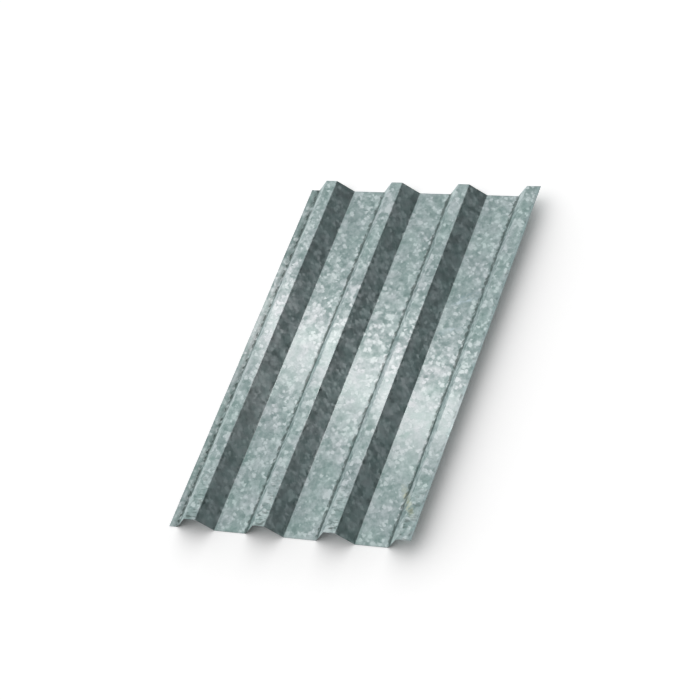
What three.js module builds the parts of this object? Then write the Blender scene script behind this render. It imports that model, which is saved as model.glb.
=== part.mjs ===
// Trapezoidal profiled roofing sheet, roll-formed from one strip of galvanised steel.
//
// Millimetres. The sheet lies flat with its pans on the plane z = 0. X runs across the sheet,
// from the lip that goes under the neighbouring sheet to the half rib that laps over it.
// Y runs along the ribs and Z points up. The origin is on the floor, under the middle.
import * as THREE from "three";

// --- Driving dimensions ---------------------------------------------------------------------

const sheetLength = 1400; // cut length, along the ribs
const sheetThickness = 0.7; // gauge of the strip, zinc included
const ribCount = 3; // whole ribs; the half rib on the lap edge comes after them
const ribPitch = 250; // from one rib to the next
const ribHeight = 54; // rise from pan to crown, top face to top face
const crownWidth = 40; // flat top of a rib, fold to fold
const webRun = 48; // sideways reach of a sloping web while it climbs the rib height
const lipWidth = 30; // strip of pan outside the first rib, edge to fold
const lapCrownWidth = 50; // crown of the half rib, fold to edge
const bendRadius = 3; // inside radius of every fold
const chordsPerFold = 6; // straight steps in each fold's arc, an even number

// --- Section --------------------------------------------------------------------------------

const coverWidth = ribCount * ribPitch;
const sheetWidth = lipWidth + coverWidth + webRun + lapCrownWidth;
const halfThickness = sheetThickness / 2;
const panLevel = halfThickness;
const crownLevel = panLevel + ribHeight;

// The strip's middle line, from the lip to the lap edge, with its folds still sharp.
function middleLine() {
  const onPan = (x) => new THREE.Vector2(x, panLevel);
  const onCrown = (x) => new THREE.Vector2(x, crownLevel);
  const firstFoot = -sheetWidth / 2 + lipWidth;

  const corners = [onPan(-sheetWidth / 2)];
  for (let rib = 0; rib < ribCount; rib += 1) {
    const foot = firstFoot + rib * ribPitch;
    const shoulder = foot + webRun;
    corners.push(
      onPan(foot),
      onCrown(shoulder),
      onCrown(shoulder + crownWidth),
      onPan(shoulder + crownWidth + webRun),
    );
  }
  const lapFoot = firstFoot + coverWidth;
  corners.push(onPan(lapFoot), onCrown(lapFoot + webRun), onCrown(sheetWidth / 2));
  return corners;
}

// The arc of the middle line at a corner: its centre, its start and end angles, and its side,
// which is 1 where the strip turns left and -1 where it turns right.
function foldAt(before, corner, after) {
  const inward = corner.clone().sub(before).normalize();
  const outward = after.clone().sub(corner).normalize();
  const turn = Math.asin(inward.cross(outward));
  const side = Math.sign(turn);
  const distance = (bendRadius + halfThickness) / Math.cos(turn / 2);
  const centre = outward.clone().sub(inward).setLength(distance).add(corner);
  const start = inward.angle() - (side * Math.PI) / 2;
  return { centre, side, start, end: start + turn };
}

// The closed outline of the strip: out along its top face and back along its bottom face.
function sectionShape() {
  const corners = middleLine();
  const folds = corners
    .slice(1, -1)
    .map((corner, i) => foldAt(corners[i], corner, corners[i + 2]));
  const lipEdge = corners[0];
  const lapEdge = corners[corners.length - 1];

  // The top face is on the left, so it is the inside of a left turn.
  const insideRadius = bendRadius;
  const outsideRadius = bendRadius + sheetThickness;
  const topRadius = (fold) => (fold.side > 0 ? insideRadius : outsideRadius);
  const bottomRadius = (fold) => (fold.side > 0 ? outsideRadius : insideRadius);

  const shape = new THREE.Shape();
  shape.moveTo(lipEdge.x, lipEdge.y - halfThickness);
  shape.lineTo(lipEdge.x, lipEdge.y + halfThickness);
  for (const fold of folds) {
    const { x, y } = fold.centre;
    shape.absarc(x, y, topRadius(fold), fold.start, fold.end, fold.side < 0);
  }
  shape.lineTo(lapEdge.x, lapEdge.y + halfThickness);
  shape.lineTo(lapEdge.x, lapEdge.y - halfThickness);
  for (const fold of folds.reverse()) {
    const { x, y } = fold.centre;
    shape.absarc(x, y, bottomRadius(fold), fold.end, fold.start, fold.side > 0);
  }
  shape.closePath();
  return shape;
}

// --- Sheet ----------------------------------------------------------------------------------

const galvanisedSteel = new THREE.MeshStandardMaterial({
  color: 0x9fafac, // zinc grey with a cool green cast
  roughness: 0.5,
  metalness: 0.85,
});

// The section is drawn in the XY plane and extruded along Z. A quarter turn about X stands
// the section upright and lays the ribs along Y.
function profiledSheet() {
  const geometry = new THREE.ExtrudeGeometry(sectionShape(), {
    depth: sheetLength,
    bevelEnabled: false,
    curveSegments: chordsPerFold / 2,
  });
  const mesh = new THREE.Mesh(geometry, galvanisedSteel);
  mesh.name = "profiled_sheet";
  mesh.rotation.x = Math.PI / 2;
  mesh.position.y = sheetLength / 2;
  return mesh;
}

const group = new THREE.Group();
group.add(profiledSheet());

export default group;
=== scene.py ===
"""Looks of a trapezoidal roofing sheet in bare galvanised steel, lying on a pale studio floor.

Metres, in the frame of the part: X across the sheet from the lip to the lap edge, Y along the
ribs, Z up, with the origin on the floor under the middle of the sheet.
"""

import math

import bmesh
import bpy
from mathutils import Matrix, Vector, noise


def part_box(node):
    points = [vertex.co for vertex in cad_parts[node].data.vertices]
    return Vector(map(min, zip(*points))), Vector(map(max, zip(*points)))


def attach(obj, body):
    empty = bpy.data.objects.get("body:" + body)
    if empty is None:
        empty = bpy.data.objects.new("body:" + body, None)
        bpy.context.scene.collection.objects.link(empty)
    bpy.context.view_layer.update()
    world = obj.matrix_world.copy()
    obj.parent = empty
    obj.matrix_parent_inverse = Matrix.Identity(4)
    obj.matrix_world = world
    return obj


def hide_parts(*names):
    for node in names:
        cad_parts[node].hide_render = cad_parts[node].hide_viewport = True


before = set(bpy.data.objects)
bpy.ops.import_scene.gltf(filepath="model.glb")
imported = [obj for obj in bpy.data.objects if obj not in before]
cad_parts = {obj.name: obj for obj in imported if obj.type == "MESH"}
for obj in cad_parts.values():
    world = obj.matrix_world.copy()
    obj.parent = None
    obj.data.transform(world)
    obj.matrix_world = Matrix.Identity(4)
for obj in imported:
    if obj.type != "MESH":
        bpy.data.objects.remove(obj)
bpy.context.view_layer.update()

MM = 0.001

# --- Sizes of the sheet: the outer ones from the frame, the section as in the part's source ---

SHEET_LOW, SHEET_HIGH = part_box("profiled_sheet")
SHEET_LENGTH = SHEET_HIGH.y - SHEET_LOW.y
SHEET_WIDTH = SHEET_HIGH.x - SHEET_LOW.x
GAUGE = 0.7 * MM
RIB_COUNT = 3
RIB_PITCH = 250 * MM
RIB_HEIGHT = SHEET_HIGH.z - SHEET_LOW.z - GAUGE
CROWN_WIDTH = 40 * MM
WEB_RUN = 48 * MM
LIP_WIDTH = 30 * MM
BEND_RADIUS = 3 * MM

# How finely the sheet is divided, so that it can take a slight ripple.
FOLD_STEPS = 6
FLAT_CELL = 20 * MM

# Edges that turn more than this stay crisp, as the cut ones do. Those of the folds turn less.
CRISP_ANGLE = math.radians(40.0)

# The ripple that rolling leaves: shallow waves everywhere, and a looser edge on both sides.
RIPPLE_HEIGHT = 0.45 * MM
RIPPLE_ACROSS = 140 * MM
RIPPLE_ALONG = 260 * MM
EDGE_WAVE_HEIGHT = 0.8 * MM
EDGE_WAVE_LENGTH = 310 * MM
EDGE_WAVE_REACH = 30 * MM
EDGE_WAVE_SHIFT = 1.7  # radians by which the wave of the lap edge is ahead of the lip's


# --- The strip, rolled to its profile ---------------------------------------------------------


def middle_line():
    """Corners of the strip's middle line as (x, z), from the lip to the lap edge."""
    pan = GAUGE / 2
    crown = GAUGE / 2 + RIB_HEIGHT
    first_foot = -SHEET_WIDTH / 2 + LIP_WIDTH
    corners = [(-SHEET_WIDTH / 2, pan)]
    for rib in range(RIB_COUNT):
        foot = first_foot + rib * RIB_PITCH
        shoulder = foot + WEB_RUN
        corners += [
            (foot, pan),
            (shoulder, crown),
            (shoulder + CROWN_WIDTH, crown),
            (shoulder + CROWN_WIDTH + WEB_RUN, pan),
        ]
    lap_foot = first_foot + RIB_COUNT * RIB_PITCH
    corners += [(lap_foot, pan), (lap_foot + WEB_RUN, crown), (SHEET_WIDTH / 2, crown)]
    return corners


def divide(mesh, edges, cell):
    """Splits each edge into steps of about one cell."""
    by_cuts = {}
    for edge in edges:
        cuts = max(0, round(edge.calc_length() / cell) - 1)
        by_cuts.setdefault(cuts, []).append(edge)
    for cuts, same in by_cuts.items():
        if cuts:
            bmesh.ops.subdivide_edges(mesh, edges=same, cuts=cuts)


def ripple(place):
    """How far the rolled strip stands off its true profile at a place, never downwards."""
    wave = noise.noise(Vector((place.x / RIPPLE_ACROSS, place.y / RIPPLE_ALONG, 0.0)))
    off = RIPPLE_HEIGHT * (0.5 + 0.5 * wave)
    to_edge = SHEET_WIDTH / 2 - abs(place.x)
    loose = math.exp(-((to_edge / EDGE_WAVE_REACH) ** 2))
    shift = EDGE_WAVE_SHIFT if place.x > 0 else 0.0
    turn = 2 * math.pi * place.y / EDGE_WAVE_LENGTH + shift
    return off + loose * EDGE_WAVE_HEIGHT * (0.5 + 0.5 * math.sin(turn))


def rolled_sheet():
    """The sheet as one closed shell of constant gauge, with round folds."""
    mesh = bmesh.new()
    line = [mesh.verts.new((x, -SHEET_LENGTH / 2, z)) for x, z in middle_line()]
    for near, far in zip(line, line[1:]):
        mesh.edges.new((near, far))
    grown = bmesh.ops.extrude_edge_only(mesh, edges=mesh.edges[:])["geom"]
    moved = [part for part in grown if isinstance(part, bmesh.types.BMVert)]
    bmesh.ops.translate(mesh, vec=(0, SHEET_LENGTH, 0), verts=moved)

    fold_turn = math.atan2(RIB_HEIGHT, WEB_RUN)
    tangent = (BEND_RADIUS + GAUGE / 2) * math.tan(fold_turn / 2)
    folds = [edge for edge in mesh.edges if len(edge.link_faces) == 2]
    bmesh.ops.bevel(
        mesh, geom=folds, offset=tangent, segments=FOLD_STEPS, profile=0.5,
        affect="EDGES", material=-1,
    )
    across = [edge for edge in mesh.edges if abs(edge.verts[0].co.y - edge.verts[1].co.y) < MM]
    divide(mesh, across, FLAT_CELL)
    along = [edge for edge in mesh.edges if abs(edge.verts[0].co.y - edge.verts[1].co.y) > MM]
    divide(mesh, along, FLAT_CELL)

    # The top face is turned up, so that the ripple lifts the sheet and never sinks it.
    bmesh.ops.recalc_face_normals(mesh, faces=mesh.faces[:])
    mesh.normal_update()
    if sum(face.normal.z for face in mesh.faces) < 0:
        bmesh.ops.reverse_faces(mesh, faces=mesh.faces[:])
    for vert in mesh.verts:
        vert.co += vert.normal * ripple(vert.co)

    # The middle line becomes the top face, and the gauge is then grown downwards from it.
    mesh.normal_update()
    raised = [(vert, vert.normal * vert.calc_shell_factor() * GAUGE / 2) for vert in mesh.verts]
    for vert, step in raised:
        vert.co += step
    bmesh.ops.solidify(mesh, geom=mesh.faces[:], thickness=GAUGE)
    bmesh.ops.recalc_face_normals(mesh, faces=mesh.faces[:])
    mesh.normal_update()
    for edge in mesh.edges:
        edge.smooth = edge.calc_face_angle(math.pi) < CRISP_ANGLE
    for face in mesh.faces:
        face.smooth = True
    return mesh


def make_object(name, mesh, material):
    """Turns a bmesh into an object of the scene, and frees it."""
    data = bpy.data.meshes.new(name)
    mesh.to_mesh(data)
    mesh.free()
    data.materials.append(material)
    made = bpy.data.objects.new(name, data)
    bpy.context.scene.collection.objects.link(made)
    return made


# --- Shader nodes -----------------------------------------------------------------------------


def linear(hex_colour):
    """An sRGB colour such as "9DACAB" as linear red, green, blue and alpha."""
    def channel(start):
        value = int(hex_colour[start:start + 2], 16) / 255
        return value / 12.92 if value <= 0.04045 else ((value + 0.055) / 1.055) ** 2.4
    return (channel(0), channel(2), channel(4), 1.0)


def add(tree, kind, settings=None, **sockets):
    """Adds a node. A socket takes a value, or another node's output to link from.

    A socket is named as in Blender, with underscores for spaces, or by its number as in _0.
    """
    made = tree.nodes.new(kind)
    for name, value in (settings or {}).items():
        if name == "stops":
            elements = made.color_ramp.elements
            while len(elements) < len(value):
                elements.new(1.0)
            for element, (position, colour) in zip(elements, value):
                element.position = position
                element.color = linear(colour)
        else:
            setattr(made, name, value)
    for name, value in sockets.items():
        key = int(name[1:]) if name[0] == "_" else name.replace("_", " ")
        socket = made.inputs[key]
        if isinstance(value, bpy.types.NodeSocket):
            tree.links.new(value, socket)
        else:
            socket.default_value = value
    return made


def calculate(tree, operation, *values, clamp=False):
    """The result of a Math node."""
    settings = {"operation": operation, "use_clamp": clamp}
    sockets = {f"_{index}": value for index, value in enumerate(values)}
    return add(tree, "ShaderNodeMath", settings, **sockets).outputs["Value"]


def remap(tree, value, source, target, curve="LINEAR"):
    """A value taken from the source range to the target range, and held inside it."""
    made = add(tree, "ShaderNodeMapRange", {"interpolation_type": curve}, Value=value,
               From_Min=source[0], From_Max=source[1], To_Min=target[0], To_Max=target[1])
    return made.outputs["Result"]


def blotches(tree, place, size, detail, roughness=0.5):
    """Soft noise from 0 to 1 with blotches of about this size."""
    made = add(tree, "ShaderNodeTexNoise", Vector=place, Scale=1 / size, Detail=detail,
               Roughness=roughness)
    return made.outputs["Fac"]


def ramp(tree, value, stops):
    """The colour at a value between (position, colour) stops."""
    return add(tree, "ShaderNodeValToRGB", {"stops": stops}, Fac=value).outputs["Color"]


def cover(tree, share, under, over, blend="MIX"):
    """One colour laid over another."""
    settings = {"data_type": "RGBA", "blend_type": blend}
    return add(tree, "ShaderNodeMix", settings, _0=share, _6=under, _7=over).outputs["Result"]


def fitted(tree, place, **sockets):
    """Coordinates of a texture that is moved, turned and stretched like an object."""
    made = add(tree, "ShaderNodeMapping", {"vector_type": "TEXTURE"}, Vector=place, **sockets)
    return made.outputs["Vector"]


def new_material(name):
    material = bpy.data.materials.new(name)
    material.use_nodes = True
    tree = material.node_tree
    tree.nodes.clear()
    return material, tree


# --- Galvanised steel: the frozen zinc --------------------------------------------------------

# Zinc freezes into crystals some 5 to 30 mm wide. Small ones lie over a pattern of larger ones.
FLECK_SIZE = 14 * MM
CRYSTAL_SIZE = 26 * MM
CLOUD_SIZE = 24 * MM
PATCH_SIZE = 90 * MM

# Their borders are feathered by pushing the pattern about, this finely and this far.
WOBBLE_SIZE = 11 * MM
WOBBLE_REACH = 13 * MM

# They are longer one way: this many degrees round from the ribs' cross direction.
GRAIN_TURN = 45.0
GRAIN_STRETCH = 1.28

# A fleck fades from its middle to its border, in units of its size.
FLECK_FADE = (0.2, 0.7)

# Some of the small crystals shine out, and the rest lie level with the ground. Each has a random
# number from 0 to 1: below the first number of the draw it stays down, and above it rises.
FLECK_DRAW = (0.40, 1.0)
FLECK_RISE = (-0.08, 0.52)

# How much each pattern adds to the tone, which is 0.4 in dark places and 1.0 in bright ones.
FLECK_WEIGHT = 1.15
CRYSTAL_WEIGHT = 0.24
CLOUD_WEIGHT = 0.95
PATCH_WEIGHT = 0.18
TONE_RANGE = (0.40, 1.00)
ZINC_COLOURS = ((0.42, "809492"), (0.62, "98AAA9"), (0.77, "B0BFBF"), (1.00, "CFDBDB"))

# The lighter crystals are duller: more of their light is scattered and less is mirrored.
METALLIC_RANGE = (0.76, 0.66)
ROUGHNESS_RANGE = (0.29, 0.59)
# Along the painted highlight beside the folds the metal is also made less metallic.
FOLD_HIGHLIGHT_METALLIC = -0.25
MIRROR_TINT = "F2FFFE"

# Crystals stand a few thousandths of a millimetre high, which wouldn't show, so the relief is
# drawn deeper.
RELIEF_DEPTH = 0.05 * MM

# The zinc leans to green in one place and to a warmer grey in the next.
TINT_SIZE = 90 * MM
TINT_COLOURS = ((0.32, "FAFFFD"), (0.68, "FFFCFE"))

# --- Galvanised steel: painted highlights, painted shade, film and dirt -----------------------

# Marks across one rib, as millimetres from its foot on the lip side and strength. The pattern is
# repeated at every rib, and starts this far outside the foot.
MARKS_START = 20
# Painted shade with dirt: dark lines at the foot of each web on the lip side, and along both folds
# of the other web, where the folds lie in shade.
CREASE_MARKS = (
    (-10, 0.0), (-5, 0.82), (9, 0.88), (16, 0.50), (28, 0.0),
    (79, 0.0), (86, 0.52), (93, 0.57), (99, 0.0), (125, 0.0), (130, 0.54), (134, 0.57), (140, 0.0),
)
# Painted highlight: the tone is raised up the lip-side web towards its shoulder and beside the
# folds, where the sheet catches light.
FOLD_HIGHLIGHT_MARKS = (
    (4, 0.0), (16, 0.45), (42, 0.60), (54, 0.10), (64, 0.0), (70, 0.0), (77, 0.12), (82, 0.0),
    (142, 0.0), (147, 0.25), (153, 0.12), (162, 0.0),
)
FILM_MARKS = ((86, 0.0), (90, 0.62), (133, 0.62), (137, 0.0))
SCUFF_MARKS = ((50, 0.0), (55, 1.0), (84, 1.0), (89, 0.0))

# The marks are ragged, because they are shifted about across the rib, and broken into patches.
JAG_SIZE = 16 * MM
JAG_REACH = 15 * MM
FRAY_SIZE = 19 * MM
FRAY_RANGE = (0.35, 0.65)
PATCHY_RANGE = (0.0, 0.60)

# The passivation film is faintly violet in one place and green in the next.
FILM_SIZE = 36 * MM
FILM_COLOURS = ((0.38, "95ACAC"), (0.62, "9CABAD"))

# Stains in the passivation film: the middle across and along the sheet, the turn in degrees, half
# the length, half the width, strength and colour. The first is a yellow smear over the crease
# beside the lap rib, and the others are faint bluish streaks across the last pan.
STAINS = (
    (365 * MM, -545 * MM, -55.0, 105 * MM, 17 * MM, 2.2, "CED1B0"),
    (296 * MM, 276 * MM, 20.0, 62 * MM, 11 * MM, 1.5, "90A6AE"),
    (292 * MM, 252 * MM, 20.0, 66 * MM, 12 * MM, 1.6, "BFD0D8"),
    (277 * MM, 130 * MM, 16.0, 62 * MM, 14 * MM, 1.6, "BFD0D8"),
)

# Painted shade, with dirt, fills a crease where the frayed mark is stronger than the first of
# these.
CREASE_DIRT_AND_SHADE_RANGE = (0.25, 0.45)
CREASE_DIRT_AND_SHADE_STRENGTH = 0.76
DIRT_AND_SHADE_COLOUR = "4A5653"

# Dirt on the lip's outer rim, and painted shade along the lip beside the first foot and over the
# first web, as millimetres from the lip's edge and strength. The strength is scaled by an even
# part and by a patchy part that comes and goes.
LIP_MARKS_LENGTH = 90
LIP_MARKS = (
    (0, 0.26), (10, 0.12), (15, 0.30), (19, 0.46), (23, 0.42), (28, 0.0), (46, 0.04), (72, 0.12),
    (84, 0.0),
)
LIP_DIRT_AND_SHADE_EVEN = 0.75
LIP_DIRT_AND_SHADE_PATCHY = 0.9

# The colour is darkened too: thinly at the cut ends and on the lap edge.
CUT_EDGE_REACH = 4 * MM
CUT_EDGE_DARKENING = 0.25
LAP_EDGE_REACH = 4 * MM
LAP_EDGE_DARKENING = 0.30

# Short scuffs across the crowns at the near end, fading out along the sheet.
SCUFF_LENGTH = 24 * MM
SCUFF_WIDTH = 7 * MM
SCUFF_END = -420 * MM
SCUFF_RANGE = (0.52, 0.68)
SCUFF_STRENGTH = 0.70


def mark_stops(marks, start=MARKS_START, length=RIB_PITCH / MM):
    """Ramp stops from (millimetres, strength) marks, as greys, for a pattern of this length."""
    stops = []
    for place, strength in marks:
        level = round(255 * (1.055 * strength ** (1 / 2.4) - 0.055)) if strength > 0 else 0
        stops.append(((place + start) / length, f"{level:02X}" * 3))
    return stops


def crystal_tone(tree, place):
    """Tone of the frozen zinc."""
    grain = fitted(tree, place, Rotation=(0.0, 0.0, math.radians(GRAIN_TURN)),
                   Scale=(1.0, GRAIN_STRETCH, 1.0))
    wobble = add(tree, "ShaderNodeTexNoise", Vector=grain, Scale=1 / WOBBLE_SIZE, Detail=1.0)
    centred = add(tree, "ShaderNodeVectorMath", {"operation": "SUBTRACT"},
                  _0=wobble.outputs["Color"], _1=(0.5, 0.5, 0.5))
    pushed = add(tree, "ShaderNodeVectorMath", {"operation": "MULTIPLY_ADD"},
                 _0=centred.outputs["Vector"], _1=(WOBBLE_REACH,) * 3, _2=grain)
    pushed = pushed.outputs["Vector"]
    crystals = add(tree, "ShaderNodeTexVoronoi", Vector=pushed, Scale=1 / CRYSTAL_SIZE)
    flecks = add(tree, "ShaderNodeTexVoronoi", Vector=pushed, Scale=1 / FLECK_SIZE)
    crystal = add(tree, "ShaderNodeSeparateColor", Color=crystals.outputs["Color"])
    draw = add(tree, "ShaderNodeSeparateColor", Color=flecks.outputs["Color"])

    fade = remap(tree, flecks.outputs["Distance"], FLECK_FADE, (1.0, 0.0), "SMOOTHSTEP")
    rise = remap(tree, draw.outputs["Red"], FLECK_DRAW, FLECK_RISE)
    fleck = calculate(tree, "MULTIPLY", fade, rise)
    cloud = blotches(tree, grain, CLOUD_SIZE, 4.0, 0.60)
    patch = blotches(tree, place, PATCH_SIZE, 2.0)

    tone = calculate(tree, "MULTIPLY", fleck, FLECK_WEIGHT)
    tone = calculate(tree, "MULTIPLY_ADD", crystal.outputs["Red"], CRYSTAL_WEIGHT, tone)
    tone = calculate(tree, "MULTIPLY_ADD", cloud, CLOUD_WEIGHT, tone)
    return calculate(tree, "MULTIPLY_ADD", patch, PATCH_WEIGHT, tone)


def place_across_rib(tree, place, x):
    """How far along the pattern of its rib a place lies, from 0 to 1, shifted raggedly."""
    jag = blotches(tree, place, JAG_SIZE, 1.0)
    start = SHEET_WIDTH / 2 - LIP_WIDTH + MARKS_START * MM - JAG_REACH / 2
    shift = calculate(tree, "MULTIPLY_ADD", jag, JAG_REACH, start)
    along = calculate(tree, "ADD", x, shift)
    along = calculate(tree, "FLOORED_MODULO", along, RIB_PITCH)
    return calculate(tree, "DIVIDE", along, RIB_PITCH)


def stained(tree, place, patchy, colour):
    """The colour with the stains laid over it."""
    for x, y, turn, length, width, strength, stain_colour in STAINS:
        spot = fitted(tree, place, Location=(x, y, 0.0),
                      Rotation=(0.0, 0.0, math.radians(turn)), Scale=(length, width, 1.0))
        spot = add(tree, "ShaderNodeTexGradient", {"gradient_type": "SPHERICAL"}, Vector=spot)
        spot = calculate(tree, "MULTIPLY", spot.outputs["Fac"], patchy)
        spot = calculate(tree, "MULTIPLY", spot, strength, clamp=True)
        colour = cover(tree, spot, colour, linear(stain_colour))
    return colour


def scuffs(tree, place, y, across):
    """Short marks across the crowns, at the near end."""
    marks = fitted(tree, place, Scale=(SCUFF_LENGTH, SCUFF_WIDTH, SCUFF_LENGTH))
    marks = blotches(tree, marks, 1.0, 1.0)
    marks = remap(tree, marks, SCUFF_RANGE, (0.0, SCUFF_STRENGTH))
    near_end = remap(tree, y, (-SHEET_LENGTH / 2, SCUFF_END), (1.0, 0.0))
    marks = calculate(tree, "MULTIPLY", marks, near_end)
    return calculate(tree, "MULTIPLY", marks, ramp(tree, across, mark_stops(SCUFF_MARKS)))


def dirt_and_shade_share(tree, place, axes, across, fray, patchy):
    """How much the dark colour covers the metal: painted shade with dirt in the creases, dirt and
    painted shade on the lip and first web, thin darkening at the edges, and scuffs.
    """
    crease = ramp(tree, across, mark_stops(CREASE_MARKS))
    dirt_and_shade = calculate(tree, "MULTIPLY", fray, crease)
    dirt_and_shade = remap(tree, dirt_and_shade, CREASE_DIRT_AND_SHADE_RANGE, (0.0, CREASE_DIRT_AND_SHADE_STRENGTH))

    lip_end = -SHEET_WIDTH / 2 + LIP_MARKS_LENGTH * MM
    lip = remap(tree, axes["X"], (-SHEET_WIDTH / 2, lip_end), (0.0, 1.0))
    lip = ramp(tree, lip, mark_stops(LIP_MARKS, 0, LIP_MARKS_LENGTH))
    rim = calculate(tree, "MULTIPLY_ADD", patchy, LIP_DIRT_AND_SHADE_PATCHY, LIP_DIRT_AND_SHADE_EVEN)
    dirt_and_shade = calculate(tree, "MULTIPLY_ADD", lip, rim, dirt_and_shade)

    outward = add(tree, "ShaderNodeVectorMath", {"operation": "ABSOLUTE"}, _0=place)
    outward = add(tree, "ShaderNodeSeparateXYZ", Vector=outward.outputs["Vector"])
    end = SHEET_LENGTH / 2
    cut = remap(tree, outward.outputs["Y"], (end - CUT_EDGE_REACH, end), (0.0, CUT_EDGE_DARKENING))
    side = SHEET_WIDTH / 2
    lap = remap(tree, axes["X"], (side - LAP_EDGE_REACH, side), (0.0, LAP_EDGE_DARKENING))
    for other in (cut, lap, scuffs(tree, place, axes["Y"], across)):
        dirt_and_shade = calculate(tree, "MAXIMUM", dirt_and_shade, other)
    return dirt_and_shade


def galvanised_steel():
    """Bare hot-dip galvanised steel, rolled, stored and handled.

    The eye gets frozen zinc crystals, each with its own tone and gloss, a cool grey that leans to
    green, a painted highlight up the lip-side webs and beside the folds, a faint film on the webs,
    and painted shade with dirt that sits dark in the creases in a broken line.
    """
    material, tree = new_material("galvanised_steel")
    place = add(tree, "ShaderNodeTexCoord").outputs["Object"]
    axes = add(tree, "ShaderNodeSeparateXYZ", Vector=place).outputs
    across = place_across_rib(tree, place, axes["X"])
    fray = blotches(tree, place, FRAY_SIZE, 2.0)
    patchy = remap(tree, fray, FRAY_RANGE, PATCHY_RANGE)

    # Painted highlight: the tone is raised beside the folds and up the lip-side webs.
    fold_highlight = ramp(tree, across, mark_stops(FOLD_HIGHLIGHT_MARKS))
    tone = crystal_tone(tree, place)
    tone = calculate(tree, "MULTIPLY_ADD", fold_highlight, patchy, tone)

    colour = ramp(tree, tone, ZINC_COLOURS)
    tint = ramp(tree, blotches(tree, place, TINT_SIZE, 2.0), TINT_COLOURS)
    colour = cover(tree, 1.0, colour, tint, "MULTIPLY")
    film = ramp(tree, blotches(tree, place, FILM_SIZE, 1.0), FILM_COLOURS)
    colour = cover(tree, ramp(tree, across, mark_stops(FILM_MARKS)), colour, film)
    colour = stained(tree, place, patchy, colour)
    # Painted shade and dirt darken the creases, the lip and first web, the edges and the scuffs.
    dirt_and_shade = dirt_and_shade_share(tree, place, axes, across, fray, patchy)
    colour = cover(tree, dirt_and_shade, colour, linear(DIRT_AND_SHADE_COLOUR))

    metallic = remap(tree, tone, TONE_RANGE, METALLIC_RANGE)
    metallic = calculate(tree, "MULTIPLY_ADD", fold_highlight, FOLD_HIGHLIGHT_METALLIC, metallic)
    roughness = remap(tree, tone, TONE_RANGE, ROUGHNESS_RANGE)
    relief = add(tree, "ShaderNodeBump", Height=tone, Strength=1.0, Distance=RELIEF_DEPTH)
    shader = add(tree, "ShaderNodeBsdfPrincipled", Base_Color=colour, Metallic=metallic,
                 Roughness=roughness, Specular_Tint=linear(MIRROR_TINT),
                 Normal=relief.outputs["Normal"])
    add(tree, "ShaderNodeOutputMaterial", Surface=shader.outputs["BSDF"])
    return material


# --- Camera: where it stands round the sheet, and how it is turned about its own axis ---------

CAMERA_AZIMUTH = 41.84
CAMERA_ELEVATION = 46.12
CAMERA_ROLL = 29.39
CAMERA_DISTANCE = 8.446
CAMERA_TARGET = Vector((-0.0336, 0.0109, 0.0285))
SENSOR_WIDTH = 36.0
FOCAL_LENGTH = 133.87


def camera_axes():
    """The camera's right, up and backward directions."""
    azimuth = math.radians(CAMERA_AZIMUTH)
    elevation = math.radians(CAMERA_ELEVATION)
    back = Vector((
        math.sin(azimuth) * math.cos(elevation),
        -math.cos(azimuth) * math.cos(elevation),
        math.sin(elevation),
    ))
    right = Vector((0, 0, 1)).cross(back).normalized()
    roll = Matrix.Rotation(math.radians(-CAMERA_ROLL), 3, back)
    right = roll @ right
    return right, back.cross(right), back


def place_camera():
    """Puts the camera on the line through its target, looking along it."""
    right, up, back = camera_axes()
    camera = bpy.data.objects.new("camera", bpy.data.cameras.new("camera"))
    camera.data.sensor_width = SENSOR_WIDTH
    camera.data.lens = FOCAL_LENGTH
    turn = Matrix((right, up, back)).transposed().to_4x4()
    camera.matrix_world = Matrix.Translation(CAMERA_TARGET + back * CAMERA_DISTANCE) @ turn
    bpy.context.scene.collection.objects.link(camera)
    bpy.context.scene.camera = camera


# --- Studio -----------------------------------------------------------------------------------

FLOOR_RADIUS = 60.0
FLOOR_SEGMENTS = 96
FLOOR_COLOUR = "F0F0F0"
FLOOR_LIFT = 0.45

# The soft shade on the floor: how far off the sheet still gives it, which way it is open, how
# deep it is and how finely it is worked out.
SHADE_REACH = 0.40
SHADE_TOWARDS = Vector((-0.40, 0.85, 0.34)).normalized()
SHADE_DEPTH = 2.0
SHADE_SAMPLES = 8

# The studio's tent: bright overhead and towards one side, dim on the other.
TENT_TOWARDS = Vector((-0.70, 0.20, 0.68)).normalized()
TENT_DIM = 0.10
TENT_BRIGHT = 1.0
TENT_DIM_END = 0.04
TENT_BRIGHT_START = 0.60

# The long lamp that draws a sheen across the ribs.
STRIP_PLACE = (-0.296, 0.211, 0.50)
STRIP_TURN = math.radians(-23.5)
STRIP_LENGTH = 1.45
STRIP_WIDTH = 0.058
STRIP_SPREAD = math.radians(116.0)
STRIP_RADIANCE = 6.8
STRIP_COLOUR = (1.0, 0.79, 0.79)


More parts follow.
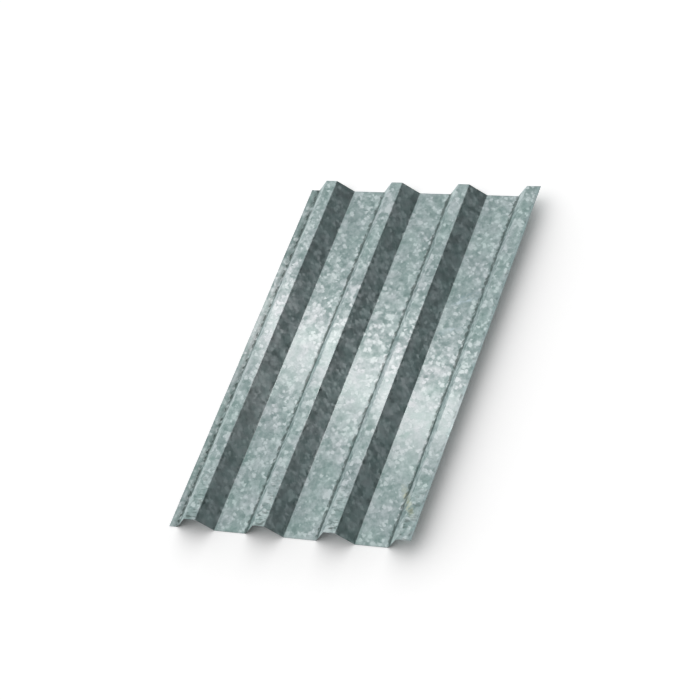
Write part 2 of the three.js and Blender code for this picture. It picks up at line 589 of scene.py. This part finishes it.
def studio_floor():
    """Matt white board. What the camera and the metal see of it is lifted to white."""
    material, tree = new_material("studio_floor")
    board = add(tree, "ShaderNodeBsdfDiffuse", Color=linear(FLOOR_COLOUR))
    ray = add(tree, "ShaderNodeLightPath").outputs
    seen = calculate(tree, "ADD", ray["Is Camera Ray"], ray["Is Glossy Ray"], clamp=True)
    seen = calculate(tree, "ADD", seen, ray["Is Transmission Ray"], clamp=True)
    towards = add(tree, "ShaderNodeCombineXYZ", X=SHADE_TOWARDS.x, Y=SHADE_TOWARDS.y,
                  Z=SHADE_TOWARDS.z)
    shade = add(tree, "ShaderNodeAmbientOcclusion", {"samples": SHADE_SAMPLES},
                Distance=SHADE_REACH, Normal=towards.outputs["Vector"])
    open_part = calculate(tree, "POWER", shade.outputs["AO"], SHADE_DEPTH)
    lift = calculate(tree, "MULTIPLY", seen, open_part)
    glow = add(tree, "ShaderNodeEmission", Color=(FLOOR_LIFT,) * 3 + (1.0,), Strength=lift)
    both = add(tree, "ShaderNodeAddShader", _0=board.outputs["BSDF"], _1=glow.outputs["Emission"])
    add(tree, "ShaderNodeOutputMaterial", Surface=both.outputs["Shader"])
    material.cycles.emission_sampling = "NONE"
    return material


def lay_floor():
    mesh = bmesh.new()
    bmesh.ops.create_circle(mesh, cap_ends=True, segments=FLOOR_SEGMENTS, radius=FLOOR_RADIUS)
    floor = make_object("studio_floor", mesh, studio_floor())


def hang_strip_lamp():
    """The strip shows only in reflections. Its energy follows from how bright its face is."""
    lamp = bpy.data.lights.new("sheen_strip", "AREA")
    lamp.shape = "RECTANGLE"
    lamp.size = STRIP_LENGTH
    lamp.size_y = STRIP_WIDTH
    lamp.energy = STRIP_RADIANCE * math.pi * STRIP_LENGTH * STRIP_WIDTH
    lamp.color = STRIP_COLOUR
    lamp.spread = STRIP_SPREAD
    made = bpy.data.objects.new("sheen_strip", lamp)
    made.matrix_world = Matrix.Translation(STRIP_PLACE) @ Matrix.Rotation(STRIP_TURN, 4, "Z")
    made.visible_camera = False
    made.visible_diffuse = False
    bpy.context.scene.collection.objects.link(made)


def light_studio():
    """The tent as the world's light, and the strip lamp."""
    world = bpy.data.worlds.new("studio")
    bpy.context.scene.world = world
    world.use_nodes = True
    tree = world.node_tree
    way = add(tree, "ShaderNodeTexCoord").outputs["Generated"]
    towards = add(tree, "ShaderNodeVectorMath", {"operation": "DOT_PRODUCT"},
                  _0=way, _1=TENT_TOWARDS)
    level = remap(tree, towards.outputs["Value"], (TENT_DIM_END, TENT_BRIGHT_START),
                  (TENT_DIM, TENT_BRIGHT), "SMOOTHSTEP")
    background = tree.nodes["Background"]
    background.inputs["Color"].default_value = (1, 1, 1, 1)
    tree.links.new(level, background.inputs["Strength"])
    hang_strip_lamp()


# --- Scene ------------------------------------------------------------------------------------

place_camera()
light_studio()
lay_floor()

sheet = make_object("galvanised_sheet", rolled_sheet(), galvanised_steel())
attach(sheet, "root")
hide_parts("profiled_sheet")

bpy.context.scene.view_settings.view_transform = "Standard"
